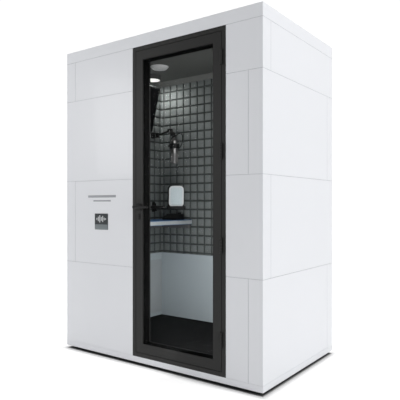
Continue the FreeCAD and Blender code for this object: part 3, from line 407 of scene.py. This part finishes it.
def waffle(name, width, height, corner, turn, shift_x=0.0, shift_z=0.0):
    """A foam sheet facing -Y before it is turned, its lower left front corner at the given place."""
    columns = math.ceil((width + shift_x) / cell)
    rows = math.ceil((height + shift_z) / cell)
    piece = start(bpy.ops.mesh.primitive_plane_add, name, size=cell, location=(0, 0, 0))
    bpy.ops.object.mode_set(mode="EDIT")
    bpy.ops.transform.translate(value=(cell / 2 - shift_x, cell / 2 - shift_z, -relief_depth))
    for rim, rise in relief_steps:
        bpy.ops.mesh.inset(thickness=rim, depth=0.0)
        bpy.ops.transform.translate(value=(0, 0, rise))
    bpy.ops.object.mode_set(mode="OBJECT")
    for axis, count in ((0, columns), (1, rows)):
        repeat = piece.modifiers.new("repeat", "ARRAY")
        repeat.use_relative_offset = False
        repeat.use_constant_offset = True
        repeat.constant_offset_displace = [cell if i == axis else 0 for i in range(3)]
        repeat.count = count
        repeat.use_merge_vertices = True
        repeat.merge_threshold = merge_gap
        bpy.ops.object.modifier_apply(modifier=repeat.name)
    bpy.ops.object.mode_set(mode="EDIT")
    for place, normal in (((width, 0, 0), (1, 0, 0)), ((0, height, 0), (0, 1, 0)),
                          ((0, 0, 0), (-1, 0, 0)), ((0, 0, 0), (0, -1, 0))):
        bpy.ops.mesh.select_all(action="SELECT")
        bpy.ops.mesh.bisect(plane_co=place, plane_no=normal, clear_outer=True)
    bpy.ops.mesh.select_all(action="DESELECT")
    bpy.ops.mesh.select_mode(type="EDGE")
    bpy.ops.mesh.select_non_manifold(extend=False)
    bpy.ops.mesh.extrude_region_move(TRANSFORM_OT_translate={"value": (0, 0, -side_step)})
    bpy.ops.transform.resize(value=(1, 1, 0), center_override=(0, 0, foam_back_plane))
    bpy.ops.mesh.edge_face_add()
    bpy.ops.mesh.select_all(action="SELECT")
    bpy.ops.mesh.normals_make_consistent(inside=False)
    bpy.ops.object.mode_set(mode="OBJECT")
    bpy.ops.object.shade_smooth_by_angle(angle=math.radians(relief_angle))
    piece.data.materials.append(acoustic_foam)
    piece.data.materials.append(foam_groove_shade)
    # Faces low in the grooves take the darker copy of the foam, a painted shade for the grooves.
    for face in piece.data.polygons:
        face.material_index = int(groove_shade_floor < face.center.z < groove_shade_top)
    piece.rotation_euler = Euler((math.radians(90), 0, math.radians(turn)))
    piece.location = corner
    settle(piece)
    return piece


acoustic_foam = material("acoustic_foam", (0.168, 0.185, 0.183), 0.95, mottle=0.10, mottle_scale=9.0,
                         grain=0.5, grain_scale=700.0, depth=0.0006, specular=0.1)
# A darker copy of the foam for the bottoms of the grooves: painted shade.
foam_groove_shade = material("foam_groove_shade", (0.075, 0.083, 0.082), 1.0, mottle=0.10, grain=0.5, grain_scale=700.0,
                    specular=0.05)

foam_low, foam_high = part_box("foam_panels")
cabin_left, cabin_right = -0.657, 0.697
cabin_front, cabin_back = -0.3645, 0.4195
foam_bottom = foam_low.z
foam_tall = foam_high.z - foam_low.z
frame_edge = -0.175
back_left, back_right = -0.7045, 0.7040     # the back sheet runs on behind the side sheets
first_cell_width, first_cell_height = 0.0685, 0.0145
first_column = cell - first_cell_width      # what is trimmed off the first cell of a row
first_row = cell - first_cell_height
sheets = (
    waffle("foam_back", back_right - back_left, foam_tall, (back_left, cabin_back, foam_bottom), 0,
           first_column, first_row),
    waffle("foam_left", cabin_back - cabin_front, foam_tall, (cabin_left, cabin_front, foam_bottom), 90,
           0.0, first_row),
    waffle("foam_right", cabin_back - cabin_front, foam_tall, (cabin_right, cabin_back, foam_bottom), -90,
           0.0, first_row),
    waffle("foam_front", frame_edge - cabin_left, foam_tall, (frame_edge, cabin_front, foam_bottom), 180,
           0.0, first_row),
)
for sheet in sheets:
    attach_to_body(sheet, "root")
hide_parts("foam_panels")
paint(acoustic_foam, "silencer_baffles")


# ---- Lower lining, ceiling and cove --------------------------------------------------------------
# Smooth matte grey boards below the foam, with a round-cornered service cover on the left one, and a
# dark ceiling board with a lighter sloped cove round it.
lining_grey = material("lining_grey", (0.42, 0.475, 0.500), 0.55, mottle=0.05, mottle_scale=3.0,
                       grain=0.08)
paint(lining_grey, "wall_linings")
ceiling_grey = material("ceiling_grey", (0.105, 0.110, 0.103), 0.7, mottle=0.06, grain=0.12)
paint(ceiling_grey, "ceiling_panel", "lamp_housing")
cover_grey = material("cover_grey", (0.37, 0.40, 0.41), 0.5, mottle=0.04, mottle_scale=3.0, grain=0.08)
cover_height, cover_width, cover_depth = 0.440, 0.152, 0.003
cover_middle = (-0.657, 0.347, 0.345)
cover_corner, cover_corner_steps = 0.030, 6
cover_ease = 0.0012
cover = start(bpy.ops.mesh.primitive_plane_add, "service_cover", size=1.0, location=(0, 0, 0))
cover.scale = (cover_height, cover_width, 1.0)
settle(cover)
bpy.ops.object.mode_set(mode="EDIT")
bpy.ops.mesh.select_all(action="SELECT")
bpy.ops.mesh.bevel(offset=cover_corner, segments=cover_corner_steps, affect="VERTICES")
bpy.ops.mesh.extrude_region_move(TRANSFORM_OT_translate={"value": (0, 0, cover_depth)})
bpy.ops.mesh.select_all(action="SELECT")
bpy.ops.mesh.normals_make_consistent(inside=False)
bpy.ops.object.mode_set(mode="OBJECT")
cover.rotation_euler = (0, math.radians(90), 0)
cover.location = cover_middle
settle(cover)
eased(cover, cover_ease)
attach(cover, "root", cover_grey)
cove_grey = material("cove_grey", (0.185, 0.19, 0.182), 0.6, mottle=0.05, grain=0.1)
paint(cove_grey, "ceiling_cove")


# ---- Carpet --------------------------------------------------------------------------------------
# Short black needle felt laid from wall to wall. It is a thin slab with rolled edges, and its pile
# is uneven.
carpet_low, carpet_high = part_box("carpet")
rolled_edge = 0.003
pile_cuts, pile_height = 90, 0.0006
facing_up = 0.9


def only(chosen, mode="FACE"):
    """Selects the faces, edges or points of the mesh being edited that a test picks."""
    bpy.ops.mesh.select_mode(type=mode)
    bpy.ops.mesh.select_all(action="DESELECT")
    bpy.ops.object.mode_set(mode="OBJECT")
    mesh = bpy.context.object.data
    parts = {"FACE": mesh.polygons, "EDGE": mesh.edges, "VERT": mesh.vertices}[mode]
    for part in parts:
        part.select = chosen(part)
    bpy.ops.object.mode_set(mode="EDIT")


carpet = start(bpy.ops.mesh.primitive_cube_add, "carpet_felt", size=1.0,
               location=(carpet_low + carpet_high) / 2, scale=carpet_high - carpet_low)
settle(carpet)
bpy.ops.object.mode_set(mode="EDIT")
bpy.ops.mesh.select_all(action="SELECT")
bpy.ops.mesh.bevel(offset=rolled_edge, segments=3, affect="EDGES")
only(lambda face: face.normal.z > facing_up)
bpy.ops.mesh.subdivide(number_cuts=pile_cuts)
bpy.ops.transform.vertex_random(offset=pile_height, uniform=0.0, normal=1.0, seed=5)
bpy.ops.object.mode_set(mode="OBJECT")
pile_felt = material("pile_felt", (0.0048, 0.0048, 0.0050), 1.0, mottle=0.25, mottle_scale=120.0,
                     grain=0.9, grain_scale=1500.0, depth=0.0015, specular=0.1)
carpet.data.materials.append(pile_felt)
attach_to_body(carpet, "root")
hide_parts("carpet")


# ---- Lamp and vent valve -------------------------------------------------------------------------
# A round surface lamp with an opal diffuser, lit, and beside it a white enamelled disc valve for the
# stale air. Both are fixed to the ceiling board.
lamp_glow = material("lamp_glow", (0.9, 0.9, 0.88), 0.5)
glow = lamp_glow.node_tree.nodes["Principled BSDF"]
glow.inputs["Emission Color"].default_value = (1.0, 0.98, 0.94, 1)
glow.inputs["Emission Strength"].default_value = 0.7
paint(lamp_glow, "lamp_diffuser")
valve_white = material("valve_white", (0.72, 0.73, 0.73), 0.35, mottle=0.03, grain=0.05)
paint(valve_white, "vent_valve_ring", "vent_valve_disc")

lamp_low, lamp_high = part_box("lamp_diffuser")
lamp_gap = 0.004                # the light hangs this far under the diffuser
lamp_data = bpy.data.lights.new("cabin_lamp", "AREA")
lamp_data.shape = "DISK"
lamp_data.size = 0.11
lamp_data.energy = 3.2
lamp_data.color = (1.0, 0.98, 0.95)
lamp = bpy.data.objects.new("cabin_lamp", lamp_data)
lamp.location = ((lamp_low.x + lamp_high.x) / 2, (lamp_low.y + lamp_high.y) / 2, lamp_low.z - lamp_gap)
bpy.context.scene.collection.objects.link(lamp)


# ---- Desk ----------------------------------------------------------------------------------------
# One shelf of laminate-faced board across the left end of the cabin, coloured blue all over as a painted
# reflection of a screen's blue glow. It stands on cleats and has a paler edge band along its free edge.
# The blue is a painted reflection of a screen's glow, not the laminate's own colour.
desk_laminate = material("desk_laminate", (0.065, 0.16, 0.36), 0.5, mottle=0.05, grain=0.12,
                         specular=0.2)
paint(desk_laminate, "desk_top")

desk_low, desk_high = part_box("desk_top")
band_thickness = 0.0012
band_inset = 0.003             # keeps the band on the flat of the desk's edge
band_ease = 0.0005
edge_grey = material("edge_grey", (0.42, 0.45, 0.46), 0.5, mottle=0.03, grain=0.08)
edge_band = bar("desk_edge_band", (desk_high.x, desk_low.y + band_inset, desk_low.z + band_inset),
                (desk_high.x + band_thickness, desk_high.y - band_inset, desk_high.z - band_inset),
                band_ease)
attach(edge_band, "root", edge_grey)


# ---- Screen, tablet and console ------------------------------------------------------------------
# Black moulded housings. The wall screen is off, the tablet shows a plain pale page in a white rim
# and stands on a tray lip, and the console has four keys and a lit spot.
black_plastic = material("black_plastic", (0.006, 0.006, 0.0065), 0.55, mottle=0.1, grain=0.3,
                         grain_scale=800.0, specular=0.2)
paint(black_plastic, "screen_housing", "audio_console", "console_dial", "tablet_cradle", "shock_mount")
screen_black = material("screen_black", (0.003, 0.003, 0.004), 0.25, mottle=0.05, grain=0.0,
                        specular=0.12)
paint(screen_black, "screen_glass")

tray_middle = (-0.3538, 0.2370, 0.9985)
tray_size = (0.146, 0.007, 0.024)
tray_forward = 0.0155              # how far the lip stands in front of the tablet's turning axis
tray_turn = 36
tray_ease = 0.002
tray_lip = start(bpy.ops.mesh.primitive_cube_add, "tray_lip", size=1.0,
                 location=(0, -tray_forward, 0), scale=tray_size)
settle(tray_lip)
eased(tray_lip, tray_ease)
tray_lip.rotation_euler = (0, 0, math.radians(tray_turn))
tray_lip.location = tray_middle
settle(tray_lip)
attach(tray_lip, "tablet", black_plastic)

tablet_rim = material("tablet_rim", (0.62, 0.65, 0.66), 0.35, mottle=0.02, grain=0.05)
paint(tablet_rim, "tablet_case")
tablet_page = material("tablet_page", (0.50, 0.58, 0.61), 0.25, mottle=0.04, mottle_scale=20.0,
                       grain=0.0)
page = tablet_page.node_tree.nodes["Principled BSDF"]
page.inputs["Emission Color"].default_value = (0.62, 0.75, 0.80, 1)
page.inputs["Emission Strength"].default_value = 0.03
paint(tablet_page, "tablet_screen")

console_low, console_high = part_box("audio_console")
key_count = 4
key_cap, key_height, key_ease = 0.012, 0.004, 0.0012
key_pitch = 0.017
key_margin = 0.014                 # from the console's left edge to the first key
key_setback = 0.018                # from the console's back edge to the keys
key_top = console_high.z
caps = []
for number in range(key_count):
    key_left = console_low.x + key_margin + key_pitch * number
    key_back = console_high.y - key_setback
    caps.append(bar("console_key", (key_left, key_back - key_cap, key_top),
                    (key_left + key_cap, key_back, key_top + key_height), key_ease))
keys_grey = material("keys_grey", (0.05, 0.05, 0.052), 0.5, grain=0.1)
attach(joined("console_keys", caps), "root", keys_grey)
status_glow = material("status_glow", (0.7, 0.75, 0.7), 0.4, grain=0.0)
status = status_glow.node_tree.nodes["Principled BSDF"]
status.inputs["Emission Color"].default_value = (0.85, 0.95, 1.0, 1)
status.inputs["Emission Strength"].default_value = 1.5
spot_radius, spot_height, spot_ease = 0.004, 0.002, 0.0006
spot_margin, spot_setback = 0.100, 0.012    # from the console's left edge and its back edge
upright = (0, 0, 0)
light_spot = disc("status_light", (console_low.x + spot_margin, console_high.y - spot_setback,
                                   key_top + spot_height / 2),
                  spot_radius, spot_height, upright, spot_ease)
attach(light_spot, "root", status_glow)

switch_white = material("switch_white", (0.75, 0.75, 0.74), 0.3, mottle=0.02, grain=0.05)
paint(switch_white, "switch_plate", "switch_rocker")


# ---- Microphone ----------------------------------------------------------------------------------
# A satin nickel tube that hangs head down. Its lower end is a basket: a woven wire mesh round a
# darker lining of metal gauze.
mic_nickel = brushed("mic_nickel", (0.24, 0.24, 0.235), 0.36, (1.0, 1.0, 0.05))
paint(mic_nickel, "mic_body")
mic_mesh = material("mic_mesh", (0.20, 0.20, 0.20), 0.42, metallic=1.0, grain=0.3, grain_scale=2500.0)
paint(mic_mesh, "mic_grille")

grille_low, grille_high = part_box("mic_grille")
basket_middle = (grille_low + grille_high) / 2
basket_radius = 0.0273
basket_margin = 0.012              # how much of the gauze the mesh leaves bare at its ends
basket_lift = 0.005
basket_wires, basket_rings = 72, 30
wire_thickness = 0.0006
upright_least = 0.01               # an edge that climbs more than this runs up the basket
basket = start(bpy.ops.mesh.primitive_cylinder_add, "mic_basket", vertices=basket_wires,
               radius=basket_radius, depth=grille_high.z - grille_low.z - basket_margin,
               end_fill_type="NOTHING",
               location=(basket_middle.x, basket_middle.y, basket_middle.z + basket_lift))
settle(basket)
points = basket.data.vertices
bpy.ops.object.mode_set(mode="EDIT")
only(lambda edge: abs(points[edge.vertices[0]].co.z - points[edge.vertices[1]].co.z) > upright_least,
     "EDGE")
bpy.ops.mesh.subdivide(number_cuts=basket_rings)
bpy.ops.object.mode_set(mode="OBJECT")
wires = basket.modifiers.new("wires", "WIREFRAME")
wires.thickness = wire_thickness
bpy.ops.object.modifier_apply(modifier=wires.name)
attach(basket, "mic_head", mic_nickel)


# ---- Badge ---------------------------------------------------------------------------------------
# A dark plate fixed to the front wall, with a paler band along its foot and a row of raised pale
# bars of uneven height, as on a sound level display.
badge_dark = material("badge_dark", (0.030, 0.034, 0.038), 0.4, mottle=0.05, grain=0.1, specular=0.3)
paint(badge_dark, "badge_plate")

badge_low, badge_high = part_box("badge_plate")
mark_depth = 0.0006
mark_ease = 0.0002
band_margin = 0.002
band_top = 0.888
badge_grey = material("badge_grey", (0.145, 0.17, 0.18), 0.45, mottle=0.03, grain=0.08)
pale_mark = material("pale_mark", (0.60, 0.62, 0.63), 0.45, mottle=0.03, grain=0.08)
band = bar("badge_band",
           (badge_low.x + band_margin, badge_low.y - mark_depth, badge_low.z + band_margin),
           (badge_high.x - band_margin, badge_low.y, band_top), mark_ease)
attach(band, "root", badge_grey)
level_heights = (0.014, 0.030, 0.048, 0.024, 0.040, 0.018, 0.010)
level_pitch = 0.014
level_width = 0.007
level_middle = 0.925
first_level = (badge_low.x + badge_high.x) / 2 - level_pitch * (len(level_heights) - 1) / 2
levels = []
for number, height in enumerate(level_heights):
    level_left = first_level + level_pitch * number - level_width / 2
    levels.append(bar("level", (level_left, badge_low.y - mark_depth, level_middle - height / 2),
                      (level_left + level_width, badge_low.y, level_middle + height / 2), mark_ease))
attach(joined("badge_levels", levels), "root", pale_mark)

# Two plain raised lines stand where a maker would put a name.
line_grey = material("line_grey", (0.30, 0.31, 0.33), 0.45, mottle=0.03, grain=0.08)
plain_line_places = (       # left end, right end, height of its middle, half its thickness
    (-0.571, -0.302, 1.077, 0.008),
    (-0.518, -0.350, 1.047, 0.005),
)
lines = []
for left_end, right_end, middle, half in plain_line_places:
    lines.append(bar("plain_line", (left_end, front_face - mark_depth, middle - half),
                     (right_end, front_face, middle + half), mark_ease))
attach(joined("plain_lines", lines), "root", line_grey)


# ---- Floor and studio light ----------------------------------------------------------------------
# A plain white floor under a bright white surround, with a large soft light from the right. The floor
# glows a little everywhere, but near the booth the glow fades out and under it the floor turns nearly
# black: a painted shadow round the booth's foot.
booth_plan = (("X", 0.0, 0.795), ("Y", 0.0275, 0.490))      # axis, the booth's middle, half its size
floor_size = 40.0


def arithmetic(tree, operation, first_socket, second):
    """A math node on one socket and a number or a second socket."""
    node = tree.nodes.new("ShaderNodeMath")
    node.operation = operation
    tree.links.new(first_socket, node.inputs[0])
    if isinstance(second, float):
        node.inputs[1].default_value = second
    else:
        tree.links.new(second, node.inputs[1])
    return node.outputs["Value"]


def ranged(tree, value, target, start_at, end_at, start_with, end_with, smooth=True):
    """Maps a value from one range to another, into a target socket."""
    node = tree.nodes.new("ShaderNodeMapRange")
    node.interpolation_type = "SMOOTHSTEP" if smooth else "LINEAR"
    node.inputs["From Min"].default_value = start_at
    node.inputs["From Max"].default_value = end_at
    node.inputs["To Min"].default_value = start_with
    node.inputs["To Max"].default_value = end_with
    tree.links.new(value, node.inputs["Value"])
    tree.links.new(node.outputs["Result"], target)


floor = start(bpy.ops.mesh.primitive_plane_add, "studio_floor", size=floor_size, location=(0, 0, 0))
floor_white_painted_shadow = material("floor_white_painted_shadow", (0.95, 0.95, 0.95), 0.9, mottle=0.0, grain=0.0)
floor_shader = floor_white_painted_shadow.node_tree.nodes["Principled BSDF"]
floor_shader.inputs["Emission Color"].default_value = (1, 1, 1, 1)
shade_tree = floor_white_painted_shadow.node_tree
split = shade_tree.nodes.new("ShaderNodeSeparateXYZ")
shade_tree.links.new(shade_tree.nodes["Texture Coordinate"].outputs["Object"], split.inputs["Vector"])
reaches = []
for axis, middle, half in booth_plan:
    offset = arithmetic(shade_tree, "SUBTRACT", split.outputs[axis], middle)
    size = arithmetic(shade_tree, "ABSOLUTE", offset, 0.0)
    reaches.append(arithmetic(shade_tree, "SUBTRACT", size, half))
# The painted shadow: the glow fades out within a few centimetres of the booth's edge, and the floor's
# colour turns nearly black under the booth.
painted_shadow_reach = arithmetic(shade_tree, "MAXIMUM", reaches[0], reaches[1])
ranged(shade_tree, painted_shadow_reach, floor_shader.inputs["Emission Strength"],
       start_at=-0.01, end_at=0.06, start_with=0.0, end_with=0.55)
ranged(shade_tree, painted_shadow_reach, floor_shader.inputs["Base Color"],
       start_at=-0.012, end_at=0.004, start_with=0.05, end_with=0.95, smooth=False)
floor.data.materials.append(floor_white_painted_shadow)

# The surround is plain white to look at from every side; only its light fades round the back.
surround_white = (1.0, 1.0, 1.0, 1)
surround_glow = 1.05
straight_ahead = (-0.5878, 0.809, 0)
world = bpy.data.worlds.new("studio")
world.use_nodes = True
sky = world.node_tree
direction = sky.nodes.new("ShaderNodeTexCoord")
across = sky.nodes.new("ShaderNodeVectorMath")
across.operation = "DOT_PRODUCT"
across.inputs[1].default_value = straight_ahead
sky.links.new(direction.outputs["Generated"], across.inputs[0])
lighting = sky.nodes["Background"]
lighting.inputs["Color"].default_value = surround_white
ranged(sky, across.outputs["Value"], lighting.inputs["Strength"],
       start_at=-0.4, end_at=0.6, start_with=0.22, end_with=surround_glow)
plain = sky.nodes.new("ShaderNodeBackground")
plain.inputs["Color"].default_value = surround_white
plain.inputs["Strength"].default_value = surround_glow
seen = sky.nodes.new("ShaderNodeLightPath")
choice = sky.nodes.new("ShaderNodeMixShader")
sky.links.new(seen.outputs["Is Camera Ray"], choice.inputs[0])
sky.links.new(lighting.outputs["Background"], choice.inputs[1])
sky.links.new(plain.outputs["Background"], choice.inputs[2])
sky.links.new(choice.outputs["Shader"], sky.nodes["World Output"].inputs["Surface"])
bpy.context.scene.world = world


def softbox(name, place, target, width, height, energy):
    """A rectangular studio light aimed at a point."""
    data = bpy.data.lights.new(name, "AREA")
    data.shape = "RECTANGLE"
    data.size = width
    data.size_y = height
    data.energy = energy
    light = bpy.data.objects.new(name, data)
    light.location = place
    light.rotation_euler = (Vector(target) - Vector(place)).to_track_quat("-Z", "Y").to_euler()
    light.visible_camera = False
    bpy.context.scene.collection.objects.link(light)


softbox("key_light", place=(5.0, -0.4, 3.4), target=(0.8, 0, 1.5), width=3.0, height=3.0, energy=108.0)
softbox("front_light", place=(-2.2, -2.8, 2.0), target=(-0.5, -0.46, 1.3), width=1.2, height=1.2,
        energy=18.5)
softbox("cabin_fill", place=(0.25, -0.33, 1.0), target=(-0.5, 0.42, 0.9), width=0.5, height=1.7,
        energy=6.5)
softbox("low_fill", place=(0.45, -0.30, 0.50), target=(0.15, 0.42, 0.35), width=0.4, height=0.4,
        energy=3.2)
bpy.context.scene.view_settings.view_transform = "Standard"
